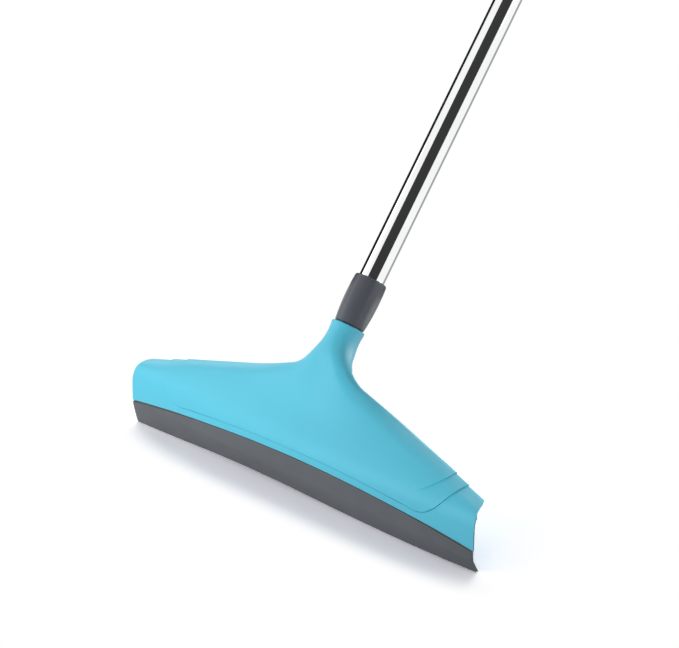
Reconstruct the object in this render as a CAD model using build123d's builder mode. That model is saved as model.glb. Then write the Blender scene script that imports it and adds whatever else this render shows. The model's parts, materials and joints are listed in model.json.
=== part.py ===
"""Floor squeegee: a moulded head with a clamped rubber blade, on a screw-in chrome handle.

Frame: the origin is the middle of the wiping face, +X runs along the blade, +Y points to the
back, the way the handle leans, and +Z is up. Millimetres.
"""

import os
from math import cos, hypot, radians, sin

from build123d import *

os.makedirs("parts", exist_ok=True)

# Head: a thin moulded sheet, upright above the blade and leaning back with the handle
head_width = 390
lean_angle = 38.8
shell_wall = 2.0
bend_start = 39.8
bend_radius = 26
arch_at_ends = 22.6
arch_in_middle = 35.7
shoulder_start = 9.3
shoulder_rise = 0.275
rim_depth = 11.5
rim_roll = 6
rim_top = 64
rim_embed = 1
rib_thickness = 1.8
rib_places = [11, 40, 100, 160]
rib_foot = 3
rib_foot_depth = 2.5
rib_knee = 14
rib_knee_depth = 5
neck_base_half_width = 17.5
neck_corner_radius = 20

# Rubber blade: a thin root under the shell and a thicker lip below it that curves back to a flat foot
foot_depth = 3.4
lip_set_back = 5.65
lip_inset = 0.7
lip_thickness = 2.7
lip_gap = 0.6
lip_bend_height = 18
root_reach = 6
blade_thickness = 2.1
blade_wrap_angle = 26

# Clamp strip behind the blade's root, with its screws
clamp_thickness = 2.5
clamp_wrap_angle = 30
clamp_end_margin = 2
clamp_edge_margin = 1
layer_gap = 0.05
screw_spacing = 80
screw_count = 5
screw_angle = 10
boss_radius = 2.9
boss_into_clamp = 0.8
screw_shank_radius = 1.5
screw_head_radius = 3.4
screw_head_height = 2.0
screw_head_dome = 1.4
screw_play = 0.3
recess_width = 0.9
recess_span = 3.6
recess_depth = 1.2
seat_depth = 0.4
shell_skin = 0.7

# Neck socket and its thread, along the handle's axis. Each neck section is its height up the
# lean, its half width, and how far it stands in front of and behind the sheet's front face.
axis_rise = 2.3
neck_sections = [(24, 34, -0.2, 1.8), (44, 27, 5.5, 5.0), (60, 20.5, 13, 9.5), (74, 16.6, 15.9, 11.3)]
neck_mouth = 96
mouth_radius = 14.1
socket_bottom = 67
socket_radius = 9.3
thread_pitch = 5
groove_start = 71
groove_turns = 5.6
thread_start = 76
thread_turns = 3
thread_root_radius = 8.9
thread_crest_radius = 10.6
thread_crest_half = 0.7
thread_flank = 0.47
thread_clearance = 0.35
thread_root_overlap = 0.5
spigot_bottom = 69
spigot_chamfer = 1

# Ferrule, washer, tube, grip and cap of the handle
washer_thickness = 0.8
washer_radius = 11.8
washer_hole_radius = 9.5
collar_length = 42
collar_foot_radius = 12.9
collar_middle_radius = 14.5
collar_top_radius = 13.8
collar_round = 2.2
tube_radius = 11
tube_wall = 0.8
tube_length = 1180
tube_seat_depth = 36
spigot_bore_radius = 6.5
spigot_floor = 1
grip_radius = 13
grip_length = 120
grip_round = 1.2
cap_flange = 4
cap_inset = 0.4
cap_round = 2.5
cap_plug_length = 28
eye_half_width = 10
eye_thickness = 6
eye_height = 18
eye_hole_radius = 4.5

# A length past every face that a cut goes through, and how near two places count as the same
cut_reach = 100
same_place = 0.01

# Places worked out from the driving dimensions
half_width = head_width / 2
lean_sin = sin(radians(lean_angle))
lean_cos = cos(radians(lean_angle))
lean_direction = (0, lean_sin, lean_cos)
front_normal = (0, -lean_cos, lean_sin)
blade_front = -foot_depth / 2 - lip_set_back
shell_front = blade_front - shell_wall
bend_y = shell_front + bend_radius
bend_end = (bend_y - bend_radius * lean_cos, bend_start + bend_radius * lean_sin)
lean_plane = Plane(origin=(0, *bend_end), x_dir=(1, 0, 0), z_dir=front_normal)
axis_plane = lean_plane.offset(axis_rise)
handle_axis = Axis(axis_plane.origin, lean_direction)
lip_front = shell_front + lip_inset
lip_back = lip_front + lip_thickness
blade_outer = bend_radius - shell_wall - layer_gap
blade_inner = blade_outer - blade_thickness
clamp_outer = blade_inner - layer_gap
clamp_inner = clamp_outer - clamp_thickness
boss_end = clamp_outer - boss_into_clamp
rim_start = shoulder_start - rim_roll - rim_embed
rim_inside = shoulder_start - shell_wall * hypot(1, shoulder_rise)
screw_seat = clamp_inner + seat_depth
screw_tip = bend_radius - shell_skin - screw_play
screw_places = [(i - (screw_count - 1) / 2) * screw_spacing for i in range(screw_count)]


def shoulder_height(x):
    """How far up the lean the straight shoulder is, at a distance x from the middle."""
    return shoulder_start + shoulder_rise * (half_width - abs(x))


def across_handle(height, rise):
    """A plane square to the lean, at a height up it and a distance in front of the sheet."""
    return Plane(lean_plane.from_local_coords((0, height, rise)), x_dir=(1, 0, 0), z_dir=lean_direction)


def across_screw(x, radius):
    """A plane facing back along a screw, at a distance from the middle of the head's bend."""
    y_share = cos(radians(screw_angle))
    z_share = sin(radians(screw_angle))
    origin = (x, bend_y - radius * y_share, bend_start + radius * z_share)
    return Plane(origin, x_dir=(1, 0, 0), z_dir=(0, y_share, -z_share))


def below_arch(margin):
    """The space under the head's arched lower edge, as a block from front to back."""
    ends = arch_at_ends + margin
    side = half_width + cut_reach
    with BuildPart() as block:
        with BuildSketch(Plane.XZ):
            with BuildLine():
                arch = ThreePointArc((-half_width, ends), (0, arch_in_middle + margin), (half_width, ends))
                Polyline(arch @ 1, (side, ends), (side, -cut_reach), (-side, -cut_reach), (-side, ends),
                         arch @ 0)
            make_face()
        extrude(amount=cut_reach, both=True)
    return block.part


def thread_ridge(start, turns, root, crest, growth):
    """A helical ridge round the handle's axis, a trapezoid in section, wider by growth each side."""
    base = axis_plane.from_local_coords((0, start, 0))
    half_crest = thread_half_width(crest) + growth
    half_root = thread_half_width(root) + growth
    with BuildPart() as ridge:
        with BuildLine() as path:
            Helix(thread_pitch, thread_pitch * turns, root, center=base, direction=lean_direction)
        first = path.line @ 0
        with BuildSketch(Plane(first, x_dir=first - base, z_dir=path.line % 0)):
            with BuildLine():
                Polyline((0, -half_root), (crest - root, -half_crest), (crest - root, half_crest),
                         (0, half_root), close=True)
            make_face()
        sweep(path=path.line, is_frenet=True)
    return ridge.part


def thread_half_width(radius):
    """Half the thread's width along the axis, at a distance from the axis."""
    return thread_crest_half + thread_flank * (thread_crest_radius - radius)


# Outline of the sheet on the lean: straight shoulders that turn up into the neck
neck_corner = shoulder_height(neck_base_half_width)
with BuildSketch(lean_plane) as outline:
    with BuildLine():
        right_side = Polyline((0, -cut_reach), (half_width, -cut_reach), (half_width, shoulder_start),
                              (neck_base_half_width, neck_corner), (mouth_radius, neck_mouth),
                              (0, neck_mouth))
        mirror(right_side, about=Plane.YZ)
    make_face()
    neck_corners = outline.vertices().filter_by(lambda v: abs(v.Y - neck_corner) < same_place)
    fillet(neck_corners, neck_corner_radius)

# Head shell
with BuildPart() as head_shell:
    # The sheet, upright below and leaning above, cut to its outline and its arched lower edge
    with BuildSketch(Plane.YZ.offset(-half_width)):
        with BuildLine():
            upright = Line((shell_front, 0), (shell_front, bend_start))
            bend = JernArc(upright @ 1, upright % 1, bend_radius, -lean_angle)
            PolarLine(bend @ 1, neck_mouth, direction=bend % 1)
            offset(amount=shell_wall, side=Side.RIGHT)
        make_face()
    extrude(amount=head_width)
    extrude(outline.sketch, amount=cut_reach, both=True, mode=Mode.INTERSECT)
    add(below_arch(0), mode=Mode.SUBTRACT)
    # The rim turned back along both shoulders, with its front edge rolled over
    with BuildSketch(lean_plane) as rim:
        add(outline.sketch_local)
        offset(outline.sketch_local, amount=-shell_wall, mode=Mode.SUBTRACT)
        with Locations((0, rim_start)):
            Rectangle(head_width, neck_mouth, align=(Align.CENTER, Align.MIN), mode=Mode.INTERSECT)
    extrude(amount=-rim_depth)
    rolled = head_shell.edges().filter_by(
        lambda e: abs(lean_plane.to_local_coords(e.center()).Z) < same_place
        and lean_plane.to_local_coords(e.center()).Y > shoulder_start + same_place
        and abs(e.center().X) > mouth_radius
    )
    fillet(rolled, rim_roll)
    with BuildSketch(lean_plane.offset(-shell_wall)):
        with Locations((0, rim_inside)):
            Rectangle(head_width, rim_depth, align=(Align.CENTER, Align.MAX))
    extrude(amount=-rim_depth, mode=Mode.SUBTRACT)
    with BuildSketch(across_handle(rim_top, 0)):
        Rectangle(head_width, 2 * neck_mouth)
    extrude(amount=neck_mouth, mode=Mode.SUBTRACT)
    # Ribs behind the sheet
    for x in [side * place for place in rib_places for side in (-1, 1)]:
        rib_top = min(shoulder_height(x), rim_top) - rim_embed
        rib_origin = lean_plane.origin + Vector(x - rib_thickness / 2, 0, 0)
        with BuildSketch(Plane(rib_origin, x_dir=lean_direction, z_dir=(1, 0, 0))):
            with BuildLine():
                Polyline((rib_foot, -rim_embed), (rib_top - rim_roll, -rim_embed), (rib_top, -rim_roll),
                         (rib_top, rim_embed - rim_depth), (rib_knee, -rib_knee_depth),
                         (rib_foot, -rib_foot_depth), close=True)
            make_face()
        extrude(amount=rib_thickness)
    # The neck, growing out of the sheet to a round mouth
    for height, half, front, back in neck_sections:
        with BuildSketch(across_handle(height, (front - back) / 2)):
            Ellipse(half, (front + back) / 2)
    with BuildSketch(across_handle(neck_mouth, axis_rise)):
        Circle(mouth_radius)
    loft()
    # Bosses for the clamp's screws
    for x in screw_places:
        with BuildSketch(across_screw(x, bend_radius - shell_skin)):
            Circle(boss_radius)
        extrude(amount=bend_radius - shell_skin - boss_end)
        with BuildSketch(across_screw(x, bend_radius - shell_skin)):
            Circle(screw_shank_radius + layer_gap)
        extrude(amount=bend_radius - shell_skin - boss_end, mode=Mode.SUBTRACT)
    # The threaded socket
    with BuildSketch(across_handle(socket_bottom, axis_rise)):
        Circle(socket_radius)
    extrude(amount=neck_mouth - socket_bottom, mode=Mode.SUBTRACT)
    add(
        thread_ridge(groove_start, groove_turns, socket_radius - thread_root_overlap,
                     thread_crest_radius + thread_clearance, thread_clearance),
        mode=Mode.SUBTRACT,
    )
head_shell.part.label = "head_shell"
export_step(head_shell.part, "parts/head_shell.step")

# The blade's lip, cut to the head's arched lower edge
with BuildPart() as blade_lip:
    with BuildSketch(Plane.YZ.offset(-half_width)):
        with BuildLine():
            face = TangentArc((lip_front, lip_bend_height), (-foot_depth / 2, 0), tangent=(0, -1))
            heel = TangentArc((lip_back, lip_bend_height), (foot_depth / 2, 0), tangent=(0, -1))
            Line(face @ 1, heel @ 1)
            Polyline(face @ 0, (lip_front, arch_in_middle), (lip_back, arch_in_middle), heel @ 0)
        make_face()
    extrude(amount=head_width)
    add(below_arch(-lip_gap), mode=Mode.INTERSECT)

# Rubber blade
with BuildPart() as blade:
    with BuildSketch(Plane.YZ.offset(-half_width)):
        with BuildLine():
            root_bottom = arch_at_ends - root_reach
            outer_root = CenterArc((bend_y, bend_start), blade_outer, 180, -blade_wrap_angle)
            inner_root = CenterArc((bend_y, bend_start), blade_inner, 180, -blade_wrap_angle)
            Line(outer_root @ 1, inner_root @ 1)
            Polyline(outer_root @ 0, (bend_y - blade_outer, root_bottom), (bend_y - blade_inner, root_bottom),
                     inner_root @ 0)
        make_face()
    extrude(amount=head_width)
    add(blade_lip.part)
    for x in screw_places:
        with BuildSketch(across_screw(x, bend_radius)):
            Circle(boss_radius + screw_play)
        extrude(amount=bend_radius - clamp_inner, mode=Mode.SUBTRACT)
blade.part.label = "blade"
export_step(blade.part, "parts/blade.step")

# Clamp strip
with BuildPart() as blade_clamp:
    clamp_length = head_width - 2 * clamp_end_margin
    with BuildSketch(Plane.YZ.offset(-clamp_length / 2)):
        with BuildLine():
            outer_face = CenterArc((bend_y, bend_start), clamp_outer, 180, -clamp_wrap_angle)
            inner_face = CenterArc((bend_y, bend_start), clamp_inner, 180, -clamp_wrap_angle)
            Line(outer_face @ 1, inner_face @ 1)
            Polyline(outer_face @ 0, (bend_y - clamp_outer, 0), (bend_y - clamp_inner, 0), inner_face @ 0)
        make_face()
    extrude(amount=clamp_length)
    add(below_arch(clamp_edge_margin), mode=Mode.SUBTRACT)
    for x in screw_places:
        with BuildSketch(across_screw(x, bend_radius)):
            Circle(boss_radius + screw_play)
        extrude(amount=bend_radius - boss_end + layer_gap, mode=Mode.SUBTRACT)
        with BuildSketch(across_screw(x, bend_radius)):
            Circle(screw_shank_radius + screw_play)
        extrude(amount=bend_radius, mode=Mode.SUBTRACT)
        with BuildSketch(across_screw(x, screw_seat)):
            Circle(screw_head_radius + screw_play)
        extrude(amount=screw_head_height, mode=Mode.SUBTRACT)
blade_clamp.part.label = "blade_clamp"
export_step(blade_clamp.part, "parts/blade_clamp.step")

# Clamp screws, with a cross recess in each domed head
with BuildPart() as clamp_screws:
    for x in screw_places:
        with BuildSketch(across_screw(x, screw_tip)):
            Circle(screw_shank_radius)
        extrude(amount=screw_tip - screw_seat)
        with BuildSketch(across_screw(x, screw_seat)):
            Circle(screw_head_radius)
        extrude(amount=screw_head_height)
    head_tops = clamp_screws.edges().filter_by(GeomType.CIRCLE).filter_by(
        lambda e: abs(e.radius - screw_head_radius) < same_place
        and across_screw(e.arc_center.X, screw_seat).to_local_coords(e.arc_center).Z > same_place
    )
    fillet(head_tops, screw_head_dome)
    for x in screw_places:
        with BuildSketch(across_screw(x, screw_seat - screw_head_height)):
            Rectangle(recess_width, recess_span)
            Rectangle(recess_span, recess_width)
        extrude(amount=-recess_depth, mode=Mode.SUBTRACT)
clamp_screws.part.label = "clamp_screws"
export_step(clamp_screws.part, "parts/clamp_screws.step")

# Washer between the neck's mouth and the collar
collar_foot = neck_mouth + washer_thickness + 2 * layer_gap
with BuildPart() as thread_washer:
    with BuildSketch(across_handle(neck_mouth + layer_gap, axis_rise)):
        Circle(washer_radius)
        Circle(washer_hole_radius, mode=Mode.SUBTRACT)
    extrude(amount=washer_thickness)
thread_washer.part.label = "thread_washer"
export_step(thread_washer.part, "parts/thread_washer.step")

# Ferrule: the collar round the tube's end, and the threaded spigot below it
collar_top = collar_foot + collar_length
tube_bottom = collar_top - tube_seat_depth
with BuildPart() as ferrule:
    with BuildSketch(axis_plane) as ferrule_section:
        with BuildLine():
            collar_side = ThreePointArc(
                (collar_top_radius, collar_top),
                (collar_middle_radius, (collar_top + collar_foot) / 2),
                (collar_foot_radius, collar_foot),
            )
            Polyline(
                collar_side @ 1,
                (thread_root_radius, collar_foot),
                (thread_root_radius, spigot_bottom + spigot_chamfer),
                (thread_root_radius - spigot_chamfer, spigot_bottom),
                (spigot_bore_radius, spigot_bottom),
                (spigot_bore_radius, collar_foot + spigot_floor),
                (0, collar_foot + spigot_floor),
                (0, tube_bottom - layer_gap),
                (tube_radius + layer_gap, tube_bottom - layer_gap),
                (tube_radius + layer_gap, collar_top),
                collar_side @ 0,
            )
        make_face()
        rounded = ferrule_section.vertices().filter_by(
            lambda v: abs(v.Y - collar_top) < same_place and v.X > collar_foot_radius
        )
        fillet(rounded, collar_round)
    revolve(axis=handle_axis)
    thread_inside = thread_root_radius - thread_root_overlap
    add(thread_ridge(thread_start, thread_turns, thread_inside, thread_crest_radius, 0))
ferrule.part.label = "ferrule"
export_step(ferrule.part, "parts/ferrule.step")

# Handle tube
tube_top = tube_bottom + tube_length
with BuildPart() as handle_tube:
    with BuildSketch(across_handle(tube_bottom, axis_rise)):
        Circle(tube_radius)
        Circle(tube_radius - tube_wall, mode=Mode.SUBTRACT)
    extrude(amount=tube_length)
handle_tube.part.label = "handle_tube"
export_step(handle_tube.part, "parts/handle_tube.step")

# Hand grip: a soft sleeve round the top of the tube
with BuildPart() as hand_grip:
    with BuildSketch(across_handle(tube_top - grip_length, axis_rise)):
        Circle(grip_radius)
        Circle(tube_radius + layer_gap, mode=Mode.SUBTRACT)
    extrude(amount=grip_length)
    round_edges = hand_grip.edges().filter_by(GeomType.CIRCLE)
    fillet(round_edges.filter_by(lambda e: abs(e.radius - grip_radius) < same_place), grip_round)
hand_grip.part.label = "hand_grip"
export_step(hand_grip.part, "parts/hand_grip.step")

# Hanging cap: a plug in the tube's end, with an eye above it
with BuildPart() as hang_cap:
    with BuildSketch(across_handle(tube_top - cap_plug_length, axis_rise)):
        Circle(tube_radius - tube_wall - layer_gap)
    extrude(amount=cap_plug_length)
    with BuildSketch(across_handle(tube_top, axis_rise)):
        Circle(grip_radius - cap_inset)
    extrude(amount=cap_flange)
    fillet(hang_cap.edges().group_by(handle_axis)[-1], cap_round)
    eye_centre = tube_top + cap_flange + eye_height - eye_half_width
    with BuildSketch(axis_plane):
        with Locations((0, eye_centre)):
            Circle(eye_half_width)
        with Locations((0, (tube_top + eye_centre) / 2)):
            Rectangle(2 * eye_half_width, eye_centre - tube_top)
    extrude(amount=eye_thickness / 2, both=True)
    with BuildSketch(axis_plane):
        with Locations((0, eye_centre)):
            Circle(eye_hole_radius)
    extrude(amount=grip_radius, both=True, mode=Mode.SUBTRACT)
hang_cap.part.label = "hang_cap"
export_step(hang_cap.part, "parts/hang_cap.step")
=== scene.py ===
"""Floor squeegee: a satin turquoise head on a rubber blade, with a chrome handle screwed into its neck.

Lengths are millimetres in the part's frame and become metres where a mesh is made. The head is drawn on a
flat pattern: x runs along it and t up its front, unrolled round its bend, with its rolled rim opened out.
"""

import json
from math import atan2, cos, hypot, pi, radians, sin, tau

import bmesh
import bpy
import numpy as np
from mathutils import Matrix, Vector
from mathutils.geometry import delaunay_2d_cdt
from mathutils.kdtree import KDTree


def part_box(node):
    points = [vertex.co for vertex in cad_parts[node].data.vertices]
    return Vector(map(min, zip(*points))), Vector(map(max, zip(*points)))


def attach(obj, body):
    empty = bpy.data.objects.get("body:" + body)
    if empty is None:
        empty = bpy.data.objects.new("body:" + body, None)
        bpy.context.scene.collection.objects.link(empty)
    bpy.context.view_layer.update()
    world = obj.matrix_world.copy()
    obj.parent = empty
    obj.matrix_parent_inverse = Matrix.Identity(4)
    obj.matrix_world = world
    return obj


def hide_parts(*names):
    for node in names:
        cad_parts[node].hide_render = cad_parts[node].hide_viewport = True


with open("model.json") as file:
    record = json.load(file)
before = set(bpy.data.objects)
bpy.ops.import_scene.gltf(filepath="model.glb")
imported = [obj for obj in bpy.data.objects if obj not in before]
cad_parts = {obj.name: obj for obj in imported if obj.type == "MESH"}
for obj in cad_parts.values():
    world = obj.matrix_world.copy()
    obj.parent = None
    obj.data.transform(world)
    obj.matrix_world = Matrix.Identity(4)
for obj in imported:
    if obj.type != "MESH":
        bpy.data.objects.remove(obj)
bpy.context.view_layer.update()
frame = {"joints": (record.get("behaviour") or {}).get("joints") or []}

MM = 0.001
square_corners = ((-1, -1), (1, -1), (1, 1), (-1, 1))

# The handle's axis and the middle of the neck's mouth, from the frame
handle_turn = next(joint for joint in frame["joints"] if joint["name"] == "handle_unscrew")
lean = atan2(handle_turn["axis"][1], handle_turn["axis"][2])
mouth = np.array(handle_turn["pos_m"]) / MM
ACROSS = np.array([1.0, 0.0, 0.0])
UP_LEAN = np.array([0.0, sin(lean), cos(lean)])
FRONT = np.array([0.0, -cos(lean), sin(lean)])

# Head
half_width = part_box("head_shell")[1].x / MM
shell_wall = 2.0
bend_radius = 26
arch_at_ends = 22.6
arch_in_middle = 36.2
shoulder_start = 10.2
shoulder_rise = 0.2724
roll_radius = 14.1
rim_depth = 8.0
crown_depth = 5.2
crown_width = 38
crown_starts = (-6, 14)
crown_ends = (40, 70)
end_corner_radius = 7.5
end_spread = 1.2
end_draw = 5.2
end_draw_from = -16
end_draw_run = 31
neck_mouth = 96
mouth_radius = 14.1
mouth_round = 1.1
mouth_flare = 0.6
flare_start = 88
axis_rise = 2.3
neck_corner_radius = 35.7
swell_rises = (12.5, 75)
swell_half_width = 94
swell_widens_from = 55
swell_widening = 20
rim_deepens = (50, 80)
tube_closes = (56, 64)
edge_bulge = 0.5
edge_rows = 8
toe_out = 1.1
toe_heights = (20, 30, 56)

# Steps in the head's front: a low band along its lower edge and its ends, and a crease above it at each end
band_height = 6.6
band_follows_edge = (0, 40, 80, 122)
band_bends = [(136, -21.2), (148, -17), (158, -8), (164.5, 2.9), (168.6, 14), (170.8, 27)]
band_depth_middle = 0.4
band_depth_ends = 0.95
band_deepens = (90, 145)
crease_bends = [(127, -5.2), (136.7, -2.4), (142.8, 2.6), (148.8, 9.4), (153.1, 17.9), (154.4, 31)]
crease_depth = 0.75
crease_fade = 0.45
step_edge = 0.12
groove_width = 0.75
band_groove = 0.4
curl_groove = 0.75
curl_ends = (95, 120, 148, 160)

# Ribs and screw bosses behind the head
rib_thickness = 1.8
rib_places = [11, 40, 100, 160]
rib_foot = 3
rib_foot_depth = 2.5
rib_knee = 14
rib_knee_depth = 5
rib_inset = 6.0
rib_embed = 0.2
rib_highest = 62
rib_least_top = 1
boss_radius = 2.9
boss_ends = (21.0, 24.2)
screw_angle = 10
screw_spacing = 80
screw_count = 5

# Blade and clamp strip
foot_depth = 2.6
lip_inset = 0.7
lip_thickness = 2.7
lip_spread = 0.35
lip_gap = 1.3
lip_bend = (18, -4)
lip_curve = (1.1, 0.1)
lip_softening = 0.3
foot_flare = 0.65
root_margin = -0.3
root_reach = 6
root_taper = 5.5
root_softening = 0.25
foot_draw = 2.0
foot_draw_power = 8
layer_gap = 0.05
blade_thickness = 2.1
blade_wrap_angle = 26
foot_bends = [(-196, -3.0), (-150, -1.2), (-100, 1.3), (-50, 2.0), (0, 0.6), (50, -1.4), (100, -2.6),
              (150, -2.3), (196, -0.5)]
clamp_thickness = 2.5
clamp_wrap_angle = 30
clamp_end_margin = 2
clamp_edge_margin = 1
clamp_softening = 0.4
hole_play = 0.3

# Screws
shank_radius = 1.5
shank_tip = 23.4
point_radius = 0.4
point_length = 1.8
screw_head_radius = 3.4
screw_head_height = 2.0
screw_head_round = 1.4
screw_head_edge = 0.15
seat_depth = 0.4
recess_width = 0.9
recess_span = 3.6
recess_depth = 1.2

# Socket, thread, washer, collar, tube, grip and cap along the handle
socket_bottom = 67
socket_radius = 9.3
socket_round = 0.5
socket_chamfer = 0.8
thread_pitch = 5
groove_start = 71
groove_turns = 5.6
thread_start = 76
thread_turns = 3
thread_root_radius = 8.9
thread_crest_radius = 10.6
thread_crest_half = 0.7
thread_flank = 0.47
thread_clearance = 0.35
thread_overlap = 0.5
thread_end_height = 0.05
spigot_bottom = 69
spigot_bore_radius = 6.5
spigot_root_round = 0.2
spigot_end_round = 1.0
spigot_bore_round = 0.4
washer_thickness = 0.8
washer_radius = 11.8
washer_hole_radius = 9.5
washer_hole_round = 0.2
collar_length = 42
collar_foot_radius = 12.9
collar_top_radius = 13.8
collar_belly = 1.15
belly_ends = (0.88, 0.06)
collar_top_round = 2.1
collar_edge_round = 0.35
collar_floor = 1
tube_radius = 11
tube_wall = 0.8
fine_round = 0.3
tube_length = 1180
tube_seat_depth = 36
grip_radius = 13
grip_length = 120
grip_groove_pitch = 6
grip_groove_depth = 0.7
grip_groove_half_top = 1.3
grip_groove_half_floor = 0.6
grip_plain_end = 14
grip_end_round = 1.2
cap_flange = 4
cap_plug_length = 28
cap_plug_round = 1.0
cap_inset = 0.4
cap_edge_round = 0.5
cap_top_round = 2.5
eye_half_width = 10
eye_thickness = 6
eye_height = 18
eye_hole_radius = 4.5
eye_hole_round = 1.2
eye_round = 1.6
eye_root = 3

# How fine the meshes are, and limits in making them
roll_spacing = 1.25
outline_spacing = 2.2
field_spacing = 2.6
field_low = -45
field_margin = 1
field_gap = 1.1
step_spacing = 1.4
least_spacing = 0.6
end_overrun = 5
row_gap = 0.75
row_margin = 0.05
row_end_margin = 0.8
row_middle_margin = 0.7
rows_past_roll = 2
mouth_rows = (0.08, 0.2, 0.35, 0.55, 0.8, 1.3)
mouth_zone = 1.4
edge_probe = 0.02
pattern_tolerance = 1e-5
middle_points = 60
middle_margins = (2, 1.5)
rib_points = 120
lip_rows = 22
blade_sections = 121
clamp_sections = 81
bend_step = 2.5
belly_steps = 14
eye_steps = 32
eye_edge_steps = 5
thread_steps = 72
run_out_steps = 20
corner_steps = 6
fine_steps = 4
round_sides = 128
screw_sides = 64
peg_sides = 48
merge_distance = 0.002
smooth_limit = 38
bevel_limit = 50
cut_overrun = 3

# Places worked out from the sizes
axis_base = mouth - neck_mouth * UP_LEAN
bend_end = axis_base - axis_rise * FRONT
bend_y = bend_end[1] + bend_radius * cos(lean)
bend_start = bend_end[2] - bend_radius * sin(lean)
shell_front = bend_y - bend_radius
bend_length = bend_radius * lean
roll_growth = roll_radius * (pi / 2 - 1)
shoulder_slope = hypot(1, shoulder_rise)
corner_x = mouth_radius + neck_corner_radius
corner_t = shoulder_start + shoulder_rise * (half_width - corner_x) + neck_corner_radius * shoulder_slope
collar_foot = neck_mouth + washer_thickness + 2 * layer_gap
collar_top = collar_foot + collar_length
tube_bottom = collar_top - tube_seat_depth
blade_outer = bend_radius - shell_wall - layer_gap
blade_inner = blade_outer - blade_thickness
clamp_outer = blade_inner - layer_gap
clamp_inner = clamp_outer - clamp_thickness
screw_seat = clamp_inner + seat_depth
screw_top = screw_seat - screw_head_height
tube_top = tube_bottom + tube_length
eye_centre = tube_top + cap_flange + eye_height - eye_half_width
screw_places = [(i - (screw_count - 1) / 2) * screw_spacing for i in range(screw_count)]


# Small helpers

def smooth_step(value, start, end):
    """From 0 at start to 1 at end, level at both."""
    share = np.clip((value - start) / (end - start), 0, 1)
    return share * share * (3 - 2 * share)


def unit(vectors):
    """Vectors of length one."""
    return vectors / np.linalg.norm(vectors, axis=-1, keepdims=True)


def pairs(a, b):
    """Rows of two values, from two lists or from a list and one value for all."""
    return np.stack(np.broadcast_arrays(a, b), -1)


def rounded(corners, steps=corner_steps):
    """A closed outline from corners (across, up, radius), with each corner turned on an arc."""
    line = []
    for before, corner, after in zip(corners[-1:] + corners[:-1], corners, corners[1:] + corners[:1]):
        point = np.array(corner[:2], float)
        if corner[2] == 0:
            line.append(point)
            continue
        back = unit(np.array(before[:2]) - point)
        on = unit(np.array(after[:2]) - point)
        half = np.arccos(np.clip(back @ on, -1, 1)) / 2
        centre = point + unit(back + on) * corner[2] / sin(half)
        start = point + back * corner[2] / np.tan(half) - centre
        end = point + on * corner[2] / np.tan(half) - centre
        sweep = pi - 2 * half
        for share in np.linspace(0, 1, steps + 1):
            line.append(centre + (sin((1 - share) * sweep) * start + sin(share * sweep) * end) / sin(sweep))
    return np.array(line)


def curve_through(points, spacing):
    """A smooth line through the points, sampled at about that spacing."""
    points = np.array(points, float)
    ends = np.vstack([2 * points[0] - points[1], points, 2 * points[-1] - points[-2]])
    line = [points[0]]
    for before, start, end, after in zip(ends, ends[1:], ends[2:], ends[3:]):
        count = max(2, round(np.linalg.norm(end - start) / spacing))
        for s in np.arange(1, count + 1) / count:
            bend = 2 * before - 5 * start + 4 * end - after
            twist = 3 * start - before - 3 * end + after
            line.append(start + ((end - before) * s + bend * s ** 2 + twist * s ** 3) / 2)
    return np.array(line)


def link_object(name, data):
    """A new object in the scene."""
    linked = bpy.data.objects.new(name, data)
    bpy.context.scene.collection.objects.link(linked)
    return linked


def shade(piece):
    """Smooth shading that keeps the sharper edges."""
    piece.data.polygons.foreach_set("use_smooth", [True] * len(piece.data.polygons))
    piece.data.set_sharp_from_angle(angle=radians(smooth_limit))


def new_piece(name, vertices, faces):
    """A closed piece from points in millimetres, its doubled points merged."""
    mesh = bpy.data.meshes.new(name)
    mesh.from_pydata((np.asarray(vertices) * MM).tolist(), [], faces)
    shape = bmesh.new()
    shape.from_mesh(mesh)
    bmesh.ops.remove_doubles(shape, verts=shape.verts, dist=merge_distance * MM)
    bmesh.ops.recalc_face_normals(shape, faces=shape.faces)
    shape.to_mesh(mesh)
    shape.free()
    piece = link_object(name, mesh)
    shade(piece)
    return piece


def combine(piece, tool, operation):
    """Cuts the tool out of the piece or joins it on, and removes the tool."""
    modifier = piece.modifiers.new("combine", "BOOLEAN")
    modifier.object = tool
    modifier.operation = operation
    modifier.solver = "MANIFOLD"
    shown = piece.evaluated_get(bpy.context.evaluated_depsgraph_get())
    old = piece.data
    piece.data = bpy.data.meshes.new_from_object(shown)
    piece.modifiers.clear()
    bpy.data.meshes.remove(old)
    bpy.data.objects.remove(tool)
    piece.data.name = piece.name
    shade(piece)


def ring_faces(rings, count, closed=True):
    """Quads between successive rings of points, the last joined to the first if closed."""
    faces = []
    for ring in range(rings if closed else rings - 1):
        following = (ring + 1) % rings
        for i in range(count):
            j = (i + 1) % count
            low, high = ring * count, following * count
            faces.append((low + i, low + j, high + j, high + i))
    return faces


def turned(name, outline, origin=axis_base, across=ACROSS, front=FRONT, along=UP_LEAN, sides=round_sides):
    """A solid turned about an axis from a closed outline of (radius, height)."""
    angles = np.arange(sides) / sides * tau
    around = np.outer(np.cos(angles), across) + np.outer(np.sin(angles), front)
    rings = [origin + height * along + radius * around for radius, height in outline]
    return new_piece(name, np.vstack(rings), ring_faces(len(rings), sides))


def bar(name, sections):
    """A solid through closed sections that all have the same number of points."""
    count = len(sections[0])
    last = (len(sections) - 1) * count
    faces = ring_faces(len(sections), count, closed=False)
    faces += [tuple(range(count)), tuple(range(last, last + count))]
    return new_piece(name, np.vstack(sections), faces)


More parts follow.
